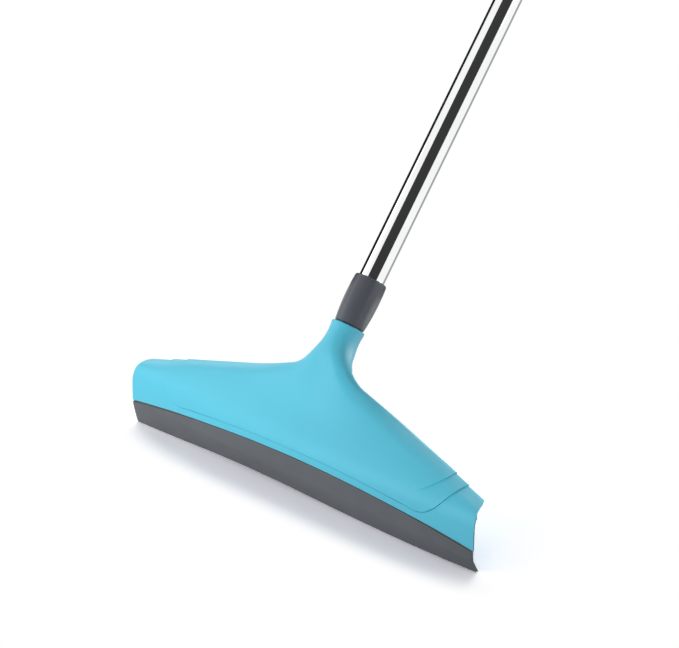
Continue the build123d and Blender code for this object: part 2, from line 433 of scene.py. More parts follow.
def soften_edges(piece, width):
    """Bevels the sharper edges of a piece."""
    shape = bmesh.new()
    shape.from_mesh(piece.data)
    edges = [e for e in shape.edges if len(e.link_faces) == 2 and e.calc_face_angle() > radians(bevel_limit)]
    bmesh.ops.bevel(shape, geom=edges, offset=width * MM, segments=3, profile=0.5, affect="EDGES")
    shape.to_mesh(piece.data)
    shape.free()
    shade(piece)


def lean_toe(piece):
    """Leans the lower part of a piece of the head forward, down to the blade's foot."""
    places = np.array([vertex.co for vertex in piece.data.vertices])
    foot, low, high = toe_heights
    z = places[:, 2] / MM
    places[:, 1] -= toe_out * MM * smooth_step(-z, -high, -low) * (1 - np.clip(1 - z / foot, 0, 1) ** 2)
    piece.data.vertices.foreach_set("co", places.ravel())
    piece.data.update()


def finish_piece(piece, body, node, material):
    """Gives a piece its body and its material, and hides the imported part of the node that it stands for."""
    if body == "head":
        lean_toe(piece)
    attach(piece, body)
    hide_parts(node)
    piece.data.materials.clear()
    piece.data.materials.append(material)


# The head's surface

def on_sheet(x, t, n):
    """Points of the bent head: x along it, t up its unrolled front, n in front of it."""
    angle = lean - np.clip(-t, 0, bend_length) / bend_radius
    past = np.maximum(t, 0)
    below = np.minimum(t + bend_length, 0)
    y = bend_y - (bend_radius + n) * np.cos(angle) + past * sin(lean)
    z = bend_start + (bend_radius + n) * np.sin(angle) + past * cos(lean) + below
    return np.stack([x + 0 * t, y, z], -1)


def lower_edge(x):
    """How far up the unrolled front the head's arched lower edge is."""
    rise = arch_in_middle - arch_at_ends
    radius = (half_width ** 2 + rise ** 2) / (2 * rise)
    return arch_in_middle - radius + np.sqrt(radius ** 2 - x ** 2) - bend_start - bend_length


def end_reach(t):
    """How far out the head's ends are, drawn in towards the rim."""
    return half_width + end_spread - end_draw * np.clip((t - end_draw_from) / end_draw_run, 0, 1) ** 2


def rim_distance(x, t):
    """How far in from the outline of shoulder and neck a place is, and the direction further in."""
    from_x = np.abs(x) - corner_x
    from_t = t - corner_t
    reach = np.hypot(from_x, from_t)
    by_shoulder = from_x > shoulder_rise * from_t
    by_neck = ~by_shoulder & (from_t > 0)
    to_shoulder = (shoulder_start + shoulder_rise * (half_width - np.abs(x)) - t) / shoulder_slope
    to_neck = np.where(by_neck, mouth_radius - np.abs(x), reach - neck_corner_radius)
    distance = np.where(by_shoulder, to_shoulder, to_neck)
    in_x = np.where(by_shoulder, -shoulder_rise / shoulder_slope, np.where(by_neck, -1, from_x / reach))
    in_t = np.where(by_shoulder, -1 / shoulder_slope, np.where(by_neck, 0, from_t / reach))
    return distance, in_x * np.where(x < 0, -1, 1), in_t


def swell(x, t):
    """How far the front swells out into the neck."""
    reach = swell_half_width * (1 + (np.maximum(t - swell_widens_from, 0) / swell_widening) ** 2)
    beside = np.clip(1 - (x / reach) ** 2, 0, 1) ** 2
    return (axis_rise + mouth_radius) * smooth_step(t, *swell_rises) * beside


def crown(x, t):
    """How far the shoulders fall away towards their rim."""
    near = np.clip(1 - np.maximum(rim_distance(x, t)[0], 0) / crown_width, 0, 1)
    return crown_depth * near ** 2 * smooth_step(t, *crown_starts) * (1 - smooth_step(t, *crown_ends))


def rim_fall(t):
    """How far back the rolled rim reaches."""
    return rim_depth + (mouth_radius - rim_depth) * smooth_step(t, *rim_deepens)


def from_pattern(x, t):
    """Where a place on the flat pattern goes: x, t and n on the front, and n where the rim ends."""
    inward, in_x, in_t = rim_distance(x, t)
    turn = np.maximum(1 - inward / roll_radius, 0)
    shift = np.where(turn > 0, roll_radius * (1 - np.sin(turn)) - inward, 0)
    x = x + in_x * shift
    t = t + in_t * shift
    edge = swell(x, t) - crown(x, t) - rim_fall(t)
    return x, t, edge + rim_fall(t) * np.cos(turn), edge


def drawn_in(x, t, n):
    """The neck's section, flared towards its mouth and drawn in at the mouth's rounded edge."""
    rise = np.clip(t - neck_mouth + mouth_round, 0, mouth_round)
    flare = mouth_flare * smooth_step(t, flare_start, neck_mouth)
    scale = 1 + (flare - mouth_round + np.sqrt(mouth_round ** 2 - rise ** 2)) / mouth_radius
    return x * scale, t, axis_rise + (n - axis_rise) * scale


def front_points(x, t):
    """The head's smooth front, over the flat pattern."""
    x, t, n, _ = from_pattern(x, t)
    return on_sheet(*drawn_in(x, t, n))


def front_normals(x, t, reach=0.05):
    """The front's directions outward, over the flat pattern."""
    along_x = front_points(x + reach, t) - front_points(x - reach, t)
    along_t = front_points(x, t + reach) - front_points(x, t - reach)
    return unit(np.cross(along_x, along_t))


def back_points(x, t):
    """The head's back: a wall behind the front, closing round behind the neck's socket."""
    sheet = front_points(x, t) - shell_wall * front_normals(x, t)
    x, t, n, edge = from_pattern(x, t)
    tube = on_sheet(*drawn_in(x, t, 2 * edge - n))
    share = smooth_step(t, *tube_closes)[:, None]
    return sheet + (tube - sheet) * share


def front_height(x, t):
    """How far the front stands out at a place on the unrolled sheet itself."""
    inward = rim_distance(x, t)[0]
    turned_in = np.clip(1 - inward / roll_radius, 0, 1)
    return swell(x, t) - crown(x, t) - rim_fall(t) * (1 - np.sqrt(1 - turned_in ** 2))


# The steps in the head's front

def band_line():
    """The right half of the low band's upper edge, on the pattern."""
    middle = [(x, lower_edge(x) + band_height) for x in band_follows_edge]
    return curve_through(middle + band_bends, step_spacing)


def crease_line():
    """The crease above the right end, on the pattern."""
    return curve_through(crease_bends, step_spacing)


def past_line(points, line):
    """Distance of points from a line, more than 0 on its right, and how far along it the nearest place is."""
    start, step = line[:-1], np.diff(line, axis=0)
    length = np.linalg.norm(step, axis=1)
    offset = points[:, None] - start
    share = np.clip((offset * step).sum(-1) / length ** 2, 0, 1)
    gap = offset - share[..., None] * step
    nearest = np.linalg.norm(gap, axis=-1).argmin(1)
    rows = np.arange(len(points))
    gap = gap[rows, nearest]
    side = gap[:, 0] * step[nearest, 1] - gap[:, 1] * step[nearest, 0]
    along = np.concatenate([[0], np.cumsum(length)])
    place = along[nearest] + share[rows, nearest] * length[nearest]
    return np.linalg.norm(gap, axis=1) * np.sign(side), place / along[-1]


def stepped(past, depth, groove):
    """A step's depth at distances past its line, with a narrow groove at the step's foot."""
    in_groove = np.interp(past, [-step_edge, 0, groove_width, groove_width + step_edge], [0, 1, 1, 0])
    return depth * np.interp(past, [-step_edge, 0], [0, 1]) + groove * in_groove


def step_depth(points):
    """How far the front is set back at places on the pattern."""
    mirrored = pairs(np.abs(points[:, 0]), points[:, 1])
    below_band, _ = past_line(mirrored, band_line())
    past_crease, along = past_line(mirrored, crease_line())
    deeper = (band_depth_ends - band_depth_middle) * smooth_step(mirrored[:, 0], *band_deepens)
    fading = smooth_step(along, 0, crease_fade)
    groove = np.interp(mirrored[:, 0], curl_ends, [band_groove, curl_groove, curl_groove, 0])
    band = stepped(below_band, band_depth_middle + deeper, groove)
    return band + stepped(past_crease, crease_depth * fading, 0)


# The head's pattern

def outline_row(inward):
    """The line at a distance in from the opened-out rim's edge, from the right end to the neck's mouth."""
    corner = np.array([corner_x, corner_t])
    start = np.array([half_width + end_overrun, shoulder_start - end_overrun * shoulder_rise])
    tangent = corner - neck_corner_radius * np.array([shoulder_rise, 1]) / shoulder_slope
    count = round(np.linalg.norm(tangent - start) / outline_spacing)
    shoulder = np.linspace(start, tangent, count, endpoint=False)
    sweep = atan2(1, shoulder_rise)
    angles = np.linspace(sweep, 0, round(neck_corner_radius * sweep / outline_spacing), endpoint=False)
    bend = corner - neck_corner_radius * pairs(np.cos(angles), np.sin(angles))
    count = round((neck_mouth - corner_t) / outline_spacing)
    neck = pairs(mouth_radius, np.linspace(corner_t, neck_mouth, count + 1))
    outline = np.vstack([shoulder, bend, neck])
    _, in_x, in_t = rim_distance(*outline.T)
    return outline + (inward - roll_growth) * pairs(in_x, in_t)


def right_border():
    """The right half of the pattern's border, from the middle of its lower edge to that of the mouth."""
    end_x = half_width + end_spread
    lower_x = np.linspace(0, end_x, round(end_x / outline_spacing) + 1)
    lower = pairs(lower_x, lower_edge(lower_x))
    rim_at_end = shoulder_start + roll_growth * shoulder_slope
    below_rim = rim_at_end - end_overrun
    top_x = end_reach(rim_at_end)
    corner = rounded([(end_reach(below_rim), below_rim, 0),
                      (top_x, rim_at_end + shoulder_rise * (half_width - top_x), end_corner_radius),
                      (corner_x, rim_at_end + shoulder_rise * (half_width - corner_x), 0)])[1:-1]
    end_t = np.arange(lower[-1, 1] + outline_spacing, corner[0, 1] - least_spacing, outline_spacing)
    end = pairs(end_reach(end_t), end_t)
    rim = outline_row(0)
    rim = rim[rim[:, 0] < corner[-1, 0] - least_spacing]
    across = np.arange(rim[-1, 0] - roll_spacing, least_spacing, -roll_spacing)
    top = pairs(across, neck_mouth)
    return np.vstack([lower, end, corner, rim, top, [(0, neck_mouth)]])


def to_right(along):
    """Directions to the right of others on the pattern."""
    return unit(along)[:, ::-1] * [1, -1]


def offset_line(line, distance):
    """A line moved to its right by a distance."""
    return line + distance * to_right(np.gradient(line, axis=0))


def far_from(points, others, gap):
    """Those of the points that are further than the gap from all the others."""
    tree = KDTree(len(others))
    for i, (x, t) in enumerate(others):
        tree.insert((x, t, 0), i)
    tree.balance()
    return np.array([p for p in points if tree.find((*p, 0))[2] > gap])


def mirrored_line(line):
    """The same line on the left half."""
    return line * [-1, 1]


def step_lines():
    """Lines over the whole pattern along each step, at the edges of its slope and its groove."""
    lines = []
    for distance in (-step_edge, 0, groove_width, groove_width + step_edge):
        band = offset_line(band_line(), distance)
        band[0, 0] = 0
        crease = offset_line(crease_line(), distance)
        lines += [np.vstack([mirrored_line(band[1:])[::-1], band]), crease, mirrored_line(crease)]
    return lines


def rim_rows():
    """Rows of places on the right half, along the rolled rim and across the neck close under its mouth."""
    roll_end = roll_radius * pi / 2 + rows_past_roll
    rows = [outline_row(inward) for inward in np.arange(roll_spacing, roll_end, roll_spacing)]
    across = np.arange(0, mouth_radius + roll_growth, roll_spacing)
    rows += [pairs(across, neck_mouth - below) for below in mouth_rows]
    rows = np.vstack(rows)
    between = (rows[:, 0] > row_middle_margin) & (rows[:, 0] < end_reach(rows[:, 1]) - row_end_margin)
    return rows[inside_pattern(rows, row_margin) & between]


def field_places():
    """A line of places down the pattern's middle and an even field of them over its right half."""
    low, high = lower_edge(0) + middle_margins[0], neck_mouth - middle_margins[1]
    middle = pairs(0, np.linspace(low, high, middle_points))
    x, t = np.meshgrid(np.arange(field_spacing, half_width + end_spread, field_spacing),
                       np.arange(field_low, neck_mouth, field_spacing))
    field = np.vstack([middle, pairs(x.ravel(), t.ravel())])
    return field[inside_pattern(field, field_margin) & (field[:, 0] < end_reach(field[:, 1]) - field_margin)]


def head_pattern():
    """Points and triangles of the flat pattern, with its border and its steps as edges."""
    right = right_border()
    border = np.vstack([right, mirrored_line(right[1:-1])[::-1]])
    edges = [(i, (i + 1) % len(border)) for i in range(len(border))]
    lines = [border]
    for line in step_lines():
        first = sum(len(earlier) for earlier in lines)
        edges += [(first + i, first + i + 1) for i in range(len(line) - 1)]
        lines.append(line)
    fixed = np.vstack(lines)
    rows = rim_rows()
    near_mouth = rows[:, 1] > neck_mouth - mouth_zone
    rows = np.vstack([far_from(rows[~near_mouth], fixed, row_gap), rows[near_mouth]])
    half = np.vstack([rows, far_from(field_places(), np.vstack([fixed, rows]), field_gap)])
    flat = np.vstack([fixed, half, mirrored_line(half[half[:, 0] > 0])])
    only_inside = 1
    filled = delaunay_2d_cdt([Vector(p) for p in flat], edges, [], only_inside, pattern_tolerance)
    return np.array(filled[0]), [tuple(face) for face in filled[2]]


def inside_pattern(points, margin):
    """Which points are inside the pattern's border by a margin."""
    inward = rim_distance(points[:, 0], points[:, 1])[0] + roll_growth
    above = points[:, 1] - lower_edge(points[:, 0])
    return (inward > margin) & (above > margin) & (points[:, 1] < neck_mouth - margin)


def border_edges(triangles):
    """The edges that only one triangle has, in that triangle's order."""
    sides = {}
    for face in triangles:
        for i, j in zip(face, face[1:] + face[:1]):
            sides[(i, j)] = True
    return [edge for edge in sides if edge[::-1] not in sides]


def head_solid():
    """The moulded head as one closed sheet, with its edges rounded and its neck closed behind."""
    points, triangles = head_pattern()
    x, t = points.T
    front = front_points(x, t) - step_depth(points)[:, None] * front_normals(x, t)
    back = back_points(x, t)
    edges = border_edges(triangles)
    after = dict(edges)
    before = {j: i for i, j in edges}
    border = list(after)
    along = points[[after[i] for i in border]] - points[[before[i] for i in border]]
    outward = to_right(along) * edge_probe
    edge_x, edge_t = points[border].T
    past_edge = front_points(edge_x + outward[:, 0], edge_t + outward[:, 1])
    leaving = unit(past_edge - front_points(edge_x, edge_t))
    thickness = back[border] - front[border]
    bulging = np.where(edge_t > neck_mouth - edge_probe, 0, edge_bulge)
    bulge = leaving * np.linalg.norm(thickness, axis=1)[:, None] * bulging[:, None]
    rows = []
    for angle in np.linspace(0, pi, edge_rows + 1)[1:-1]:
        rows.append(front[border] + thickness * (1 - cos(angle)) / 2 + bulge * sin(angle))
    total = len(points)
    faces = list(triangles) + [tuple(total + i for i in face[::-1]) for face in triangles]
    chains = {}
    for k, i in enumerate(border):
        chains[i] = [i] + [2 * total + r * len(border) + k for r in range(len(rows))] + [total + i]
    for i, j in edges:
        for r in range(len(rows) + 1):
            faces.append((chains[j][r], chains[i][r], chains[i][r + 1], chains[j][r + 1]))
    return new_piece("squeegee_head", np.vstack([front, back] + rows), faces)


def rib(x):
    """One rib behind the sheet, its front edge sunk in the wall."""
    t = np.linspace(rib_foot, rib_highest, rib_points)
    t = t[rim_distance(x, t)[0] > rib_inset]
    front = pairs(t, front_height(x, t) - shell_wall + rib_embed)
    knee = min(rib_knee, t[-1] - rib_least_top)
    back = [(knee, front_height(x, knee) - rib_knee_depth),
            (rib_foot, front_height(x, rib_foot) - rib_foot_depth)]
    deepest = min(front[-1, 1], back[0][1], rib_inset - rim_depth - crown_depth)
    outline = np.vstack([front, [(t[-1], deepest)], back])
    return bar("rib", [on_sheet(x + side * rib_thickness / 2, *outline.T) for side in (-1, 1)])


def screw_frame(x):
    """Origin at the bend's middle, and the directions across, up and out along a screw."""
    out = np.array([0, -cos(radians(screw_angle)), sin(radians(screw_angle))])
    up = np.array([0, sin(radians(screw_angle)), cos(radians(screw_angle))])
    return dict(origin=np.array([x, bend_y, bend_start]), across=ACROSS, front=up, along=out)


def peg(x, radius, low, high):
    """A plain round peg along the screw at a place on the head, used to add or cut."""
    outline = [(0, low), (radius, low), (radius, high), (0, high)]
    return turned("peg", outline, sides=peg_sides, **screw_frame(x))


def drill(piece, radius, low, high):
    """Cuts the same round hole at every screw."""
    for x in screw_places:
        combine(piece, peg(x, radius, low, high), "DIFFERENCE")


def thread_ridge(name, start, turns, root, crest, growth):
    """A helical ridge about the handle's axis, which runs out at both ends."""
    steps = round(turns * thread_steps)
    sections = []
    for i in range(steps + 1):
        turn = i / thread_steps
        out = cos(turn * tau) * ACROSS - sin(turn * tau) * FRONT
        top = root + (crest - root) * np.clip(min(i, steps - i) / run_out_steps, thread_end_height, 1)
        half_root, half_top = (thread_crest_half + growth + thread_flank * (thread_crest_radius - radius)
                               for radius in (root, top))
        corners = [(root, -half_root), (top, -half_top), (top, half_top), (root, half_root)]
        middle = axis_base + (start + turn * thread_pitch) * UP_LEAN
        sections.append(np.array([middle + radius * out + height * UP_LEAN for radius, height in corners]))
    return bar(name, sections)


def make_head(material):
    """The head with its ribs, screw bosses and threaded socket."""
    head = head_solid()
    for place in rib_places:
        for side in (-1, 1):
            combine(head, rib(side * place), "UNION")
    for x in screw_places:
        combine(head, peg(x, boss_radius, *boss_ends), "UNION")
    drill(head, shank_radius + layer_gap, boss_ends[0] - cut_overrun, shank_tip + hole_play)
    above = neck_mouth + cut_overrun
    bore = rounded([(0, socket_bottom, 0), (socket_radius, socket_bottom, socket_round),
                    (socket_radius, neck_mouth - socket_chamfer, 0),
                    (socket_radius + socket_chamfer + cut_overrun, above, 0), (0, above, 0)])
    combine(head, turned("bore", bore), "DIFFERENCE")
    groove = thread_ridge("groove", groove_start, groove_turns, socket_radius - thread_overlap,
                          thread_crest_radius + thread_clearance, thread_clearance)
    combine(head, groove, "DIFFERENCE")
    finish_piece(head, "head", "head_shell", material)


# The blade, its clamp and its screws

def bend_arc(radius, angle):
    """Places (y, z) up the bend from upright, at a radius from its middle."""
    angles = np.linspace(0, radians(angle), round(angle / bend_step))
    return pairs(bend_y - radius * np.cos(angles), bend_start + radius * np.sin(angles))


def seam_height(x):
    """How high the head's lower edge is above the floor."""
    return lower_edge(x) + bend_start + bend_length


def bent_strip(name, outer, inner, wrap_angle, margin, count, drop, taper):
    """A strip round the bend between two radii, from an angle up it down to a distance below the seam."""
    front = bend_arc(outer, wrap_angle)[::-1]
    back = bend_arc(inner, wrap_angle)
    sections = []
    for x in np.linspace(margin - half_width, half_width - margin, count):
        bottom = seam_height(x) - drop
        foot = [(bend_y - outer, bottom), (bend_y - inner, bottom + taper)]
        sections.append(np.insert(np.vstack([front, foot, back]), 0, x, axis=1))
    return bar(name, sections)


def blade_root():
    """The thin part of the blade behind the head's sheet."""
    root = bent_strip("rubber_blade", blade_outer, blade_inner, blade_wrap_angle, root_margin,
                      blade_sections, drop=root_reach, taper=root_taper)
    soften_edges(root, root_softening)
    drill(root, boss_radius + hole_play, blade_inner - cut_overrun, blade_outer + cut_overrun)
    return root


def blade_lip():
    """The thick part of the blade below the head, flush with it, which bends back to a wavy foot."""
    foot_line = curve_through(foot_bends, outline_spacing)
    top_y = shell_front + lip_inset
    sections = []
    for x in np.linspace(-half_width - lip_spread, half_width + lip_spread, blade_sections):
        k = x / half_width
        foot_y = np.interp(x, *foot_line.T) - foot_depth / 2
        z = np.linspace(seam_height(x) - lip_gap, 0, lip_rows)
        bent = np.clip(1 - z / (lip_bend[0] + lip_bend[1] * k), 0, 1) ** (lip_curve[0] + lip_curve[1] * k)
        face = pairs(top_y + (foot_y - top_y) * bent, z)
        heel = face + pairs(lip_thickness + foot_flare * bent, 0)
        drawn = foot_draw * max(k, 0) ** foot_draw_power * np.concatenate([bent, bent[::-1]])
        sections.append(np.insert(np.vstack([face, heel[::-1]]), 0, x - drawn, axis=1))
    lip = bar("blade_lip", sections)
    soften_edges(lip, lip_softening)
    return lip


def make_blade(material):
    """The rubber blade, its lip and root in one."""
    blade = blade_root()
    combine(blade, blade_lip(), "UNION")
    finish_piece(blade, "head", "blade", material)


def make_clamp(material):
    """The strip that holds the blade's root, with its screw holes and seats."""
    clamp = bent_strip("clamp_strip", clamp_outer, clamp_inner, clamp_wrap_angle, clamp_end_margin,
                       clamp_sections, drop=-clamp_edge_margin, taper=0)
    soften_edges(clamp, clamp_softening)
    drill(clamp, shank_radius + hole_play, clamp_inner - cut_overrun, clamp_outer + cut_overrun)
    drill(clamp, boss_radius + hole_play, boss_ends[0] - layer_gap, clamp_outer + cut_overrun)
    drill(clamp, screw_head_radius + hole_play, clamp_inner - cut_overrun, screw_seat)
    finish_piece(clamp, "head", "blade_clamp", material)


def one_screw(x):
    """A domed screw with a cross recess."""
    place = screw_frame(x)
    outline = rounded([(0, shank_tip, 0), (point_radius, shank_tip, 0),
                       (shank_radius, shank_tip - point_length, 0), (shank_radius, screw_seat, 0),
                       (screw_head_radius, screw_seat, screw_head_edge),
                       (screw_head_radius, screw_top, screw_head_round), (0, screw_top - screw_head_edge, 0)])
    screw = turned("screw", outline, sides=screw_sides, **place)
    for across, up in ((recess_width, recess_span), (recess_span, recess_width)):
        ends = []
        for depth in (screw_top - cut_overrun, screw_top + recess_depth):
            middle = place["origin"] + depth * place["along"]
            ends.append(np.array([middle + a * across / 2 * place["across"] + b * up / 2 * place["front"]
                                  for a, b in square_corners]))
        combine(screw, bar("recess", ends), "DIFFERENCE")
    return screw


def make_screws(material):
    """All the clamp's screws, in one mesh of separate solids."""
    joined = bmesh.new()
    for x in screw_places:
        screw = one_screw(x)
        joined.from_mesh(screw.data)
        bpy.data.objects.remove(screw)
    mesh = bpy.data.meshes.new("clamp_screw_set")
    joined.to_mesh(mesh)
    joined.free()
    screws = link_object("clamp_screw_set", mesh)
    shade(screws)
    finish_piece(screws, "head", "clamp_screws", material)


# The handle

def ring(name, inside, outside, low, high, inner_round=fine_round):
    """A plain ring with rounded edges."""
    outline = rounded([(inside, low, inner_round), (outside, low, fine_round), (outside, high, fine_round),
                       (inside, high, inner_round)], fine_steps)
    return turned(name, outline)


def make_washer(material):
    """The washer between the neck's mouth and the collar."""
    low = neck_mouth + layer_gap
    high = low + washer_thickness
    washer = ring("neck_washer", washer_hole_radius, washer_radius, low, high, washer_hole_round)
    finish_piece(washer, "washer", "thread_washer", material)


def make_collar(material):
    """The barrel-shaped collar with the tube's seat above and the threaded spigot below."""
    seat = tube_bottom - layer_gap
    inside = tube_radius + layer_gap
    floor = collar_foot + collar_floor
    belly = []
    for share in np.linspace(*belly_ends, belly_steps):
        radius = collar_foot_radius + (collar_top_radius - collar_foot_radius) * share
        radius += 4 * collar_belly * share * (1 - share)
        belly.append((radius, collar_foot + collar_length * share, 0))
    above = [(0, seat, 0), (inside, seat, fine_round), (inside, collar_top, collar_edge_round),
             (collar_top_radius, collar_top, collar_top_round)]
    below = [(collar_foot_radius, collar_foot, collar_edge_round),
             (thread_root_radius, collar_foot, spigot_root_round),
             (thread_root_radius, spigot_bottom, spigot_end_round),
             (spigot_bore_radius, spigot_bottom, spigot_bore_round), (spigot_bore_radius, floor, fine_round),
             (0, floor, 0)]
    collar = turned("handle_collar", rounded(above + belly + below))
    ridge = thread_ridge("ridge", thread_start, thread_turns, thread_root_radius - thread_overlap,
                         thread_crest_radius, 0)
    combine(collar, ridge, "UNION")
    finish_piece(collar, "handle", "ferrule", material)


def make_tube(material):
    """The plain handle tube."""
    tube = ring("chrome_tube", tube_radius - tube_wall, tube_radius, tube_bottom, tube_top)
    finish_piece(tube, "handle", "handle_tube", material)


def make_grip(material):
    """The soft sleeve with a row of ring grooves."""
    low = tube_top - grip_length
    inside = tube_radius + layer_gap
    grooved = grip_length - 2 * grip_plain_end
    count = round(grooved / grip_groove_pitch)
    side = [(grip_radius, low, grip_end_round)]
    for i in range(count):
        middle = low + grip_plain_end + (i + 0.5) * grooved / count
        for offset, depth in ((-grip_groove_half_top, 0), (-grip_groove_half_floor, grip_groove_depth),
                              (grip_groove_half_floor, grip_groove_depth), (grip_groove_half_top, 0)):
            side.append((grip_radius - depth, middle + offset, fine_round))
    side.append((grip_radius, tube_top, grip_end_round))
    outline = rounded([(inside, low, fine_round)] + side + [(inside, tube_top, fine_round)], fine_steps)
    finish_piece(turned("grip_sleeve", outline), "handle", "hand_grip", material)


def hanging_eye():
    """The cap's rounded eye, before its hole."""
    angles = np.linspace(0, pi, eye_steps + 1)
    arch = pairs(eye_half_width * np.cos(angles), eye_centre + eye_half_width * np.sin(angles))
    root = tube_top + cap_flange - eye_root
    eye = np.vstack([[(-eye_half_width, root), (eye_half_width, root)], arch])
    half = eye_thickness / 2
    edge = rounded([(eye_half_width, -half, 0), (0, -half, eye_round), (0, half, eye_round),
                    (eye_half_width, half, 0)], eye_edge_steps)[1:-1]
    middle = np.array([0, eye_centre])
    plates = []
    for inset, depth in edge:
        x, height = (middle + (eye - middle) * (1 - inset / eye_half_width)).T
        plates.append(axis_base + np.outer(x, ACROSS) + np.outer(height, UP_LEAN) + depth * FRONT)
    return bar("eye", plates)


def eye_hole():
    """A round hole through the eye that widens at both faces."""
    half = eye_thickness / 2
    wide = eye_hole_radius + eye_hole_round
    upper = [(0, half + cut_overrun, 0), (wide, half + cut_overrun, 0), (wide, half, 0),
             (eye_hole_radius, half, eye_hole_round)]
    outline = rounded(upper + [(radius, -up, turn) for radius, up, turn in upper[::-1]], eye_edge_steps)
    place = dict(origin=axis_base + eye_centre * UP_LEAN, across=ACROSS, front=UP_LEAN, along=FRONT)
    return turned("hole", outline, sides=screw_sides, **place)


def make_cap(material):
    """The plug in the tube's top with its hanging eye."""
    plug = tube_radius - tube_wall - layer_gap
    rim = grip_radius - cap_inset
    bottom = tube_top - cap_plug_length
    top = tube_top + cap_flange
    outline = rounded([(0, bottom, 0), (plug, bottom, cap_plug_round), (plug, tube_top, 0),
                       (rim, tube_top, cap_edge_round), (rim, top, cap_top_round), (0, top, 0)])
    cap = turned("hanging_cap", outline)
    combine(cap, hanging_eye(), "UNION")
    combine(cap, eye_hole(), "DIFFERENCE")
    finish_piece(cap, "handle", "hang_cap", material)


# Materials

class Nodes:
    """The nodes of a material or world, with short calls to add and link them."""

    def __init__(self, owner):
        owner.use_nodes = True
        self.owner = owner
        self.tree = owner.node_tree

    def fill(self, name, inputs):
        """Sets or links the inputs of a node."""
        node = self.tree.nodes[name]
        for socket, value in inputs.items():
            if isinstance(value, bpy.types.NodeSocket):
                self.tree.links.new(value, node.inputs[socket])
            else:
                node.inputs[socket].default_value = value

    def add(self, kind, inputs, output=0, **settings):
        """The output of a new node."""
        node = self.tree.nodes.new("ShaderNode" + kind)
        for name, value in settings.items():
            setattr(node, name, value)
        self.fill(node.name, inputs)
        return node.outputs[output]

    def noise(self, scale, detail, stretch=(1, 1, 1)):
        """Noise over the object in metres."""
        place = self.add("TexCoord", {}, "Object")
        stretched = self.add("Mapping", {"Vector": place, "Scale": stretch})
        return self.add("TexNoise", {"Vector": stretched, "Scale": scale, "Detail": detail}, "Fac")

    def between(self, value, low, high):
        """A value from 0 to 1 spread between two others."""
        return self.add("MapRange", {"Value": value, "To Min": low, "To Max": high})

    def clouded(self, value, *colours):
        """Two colours blended by a noise."""
        blend = self.add("ValToRGB", {"Fac": value})
        for stop, position, colour in zip(blend.node.color_ramp.elements, cloud_ends, colours):
            stop.position = position
            stop.color = (*colour, 1)
        return blend

    def relief(self, value, depth):
        """A fine relief, its depth in millimetres."""
        return self.add("Bump", {"Height": value, "Distance": depth * MM})

    def seen(self):
        """A value that is 1 for rays from the camera, a mirror or glass."""
        path = self.tree.nodes.new("ShaderNodeLightPath")
        value = path.outputs["Is Camera Ray"]
        for kind in ("Is Glossy Ray", "Is Transmission Ray"):
            value = self.add("Math", {0: value, 1: path.outputs[kind]}, operation="MAXIMUM")
        return value


def moulded(name, colour, variation, roughness, grain, depth, specular):
    """Moulded plastic or rubber: faint cloudy colour, uneven gloss and a fine grain."""
    nodes = Nodes(bpy.data.materials.new(name))
    darker, lighter = ([part * (1 + change) for part in colour] for change in (-variation, variation))
    clouds = nodes.clouded(nodes.noise(scale=25, detail=6), darker, lighter)
    gloss = nodes.between(nodes.noise(scale=60, detail=3), *roughness)
    relief = nodes.relief(nodes.noise(scale=grain, detail=3), depth)
    nodes.fill("Principled BSDF", {"Base Color": clouds, "Roughness": gloss, "Normal": relief,
                                   "Specular IOR Level": specular})
    return nodes.owner


def chrome():
    """Bright plate with faint drawing lines along the tube."""
    nodes = Nodes(bpy.data.materials.new("chrome"))
    line_stretch = 25
    along = tuple(1 / (1 + line_stretch * abs(part)) for part in UP_LEAN)
    darker, lighter = (0.90, 0.905, 0.91), (0.94, 0.945, 0.95)
    colour = nodes.clouded(nodes.noise(scale=30, detail=3), darker, lighter)
    gloss = nodes.between(nodes.noise(scale=400, detail=4, stretch=along), low=0.02, high=0.06)
    nodes.fill("Principled BSDF", {"Metallic": 1, "Base Color": colour, "Roughness": gloss})
    return nodes.owner


def steel():
    """Zinc plated steel with a dull uneven gloss."""
    nodes = Nodes(bpy.data.materials.new("zinc_steel"))
    darker, lighter = (0.50, 0.51, 0.52), (0.62, 0.63, 0.64)
    colour = nodes.clouded(nodes.noise(scale=500, detail=4), darker, lighter)
    gloss = nodes.between(nodes.noise(scale=900, detail=3), low=0.25, high=0.42)
    grain = nodes.relief(nodes.noise(scale=2500, detail=2), depth=0.01)
    nodes.fill("Principled BSDF", {"Metallic": 1, "Base Color": colour, "Roughness": gloss, "Normal": grain})
    return nodes.owner


# Stage, light and camera

def plain_sheet(name, middle, side_a, side_b):
    """A flat rectangle about its middle, from its half sides in metres."""
    corners = [np.array(middle) + a * np.array(side_a) + b * np.array(side_b) for a, b in square_corners]
    mesh = bpy.data.meshes.new(name)
    mesh.from_pydata([tuple(corner) for corner in corners], [], [(0, 1, 2, 3)])
    sheet = link_object(name, mesh)
    return sheet


def cover(sheet, name):
    """A new material on a sheet, with no surface yet, and its nodes."""
    nodes = Nodes(bpy.data.materials.new(name))
    sheet.data.materials.append(nodes.owner)
    nodes.tree.nodes.remove(nodes.tree.nodes["Principled BSDF"])
    return nodes


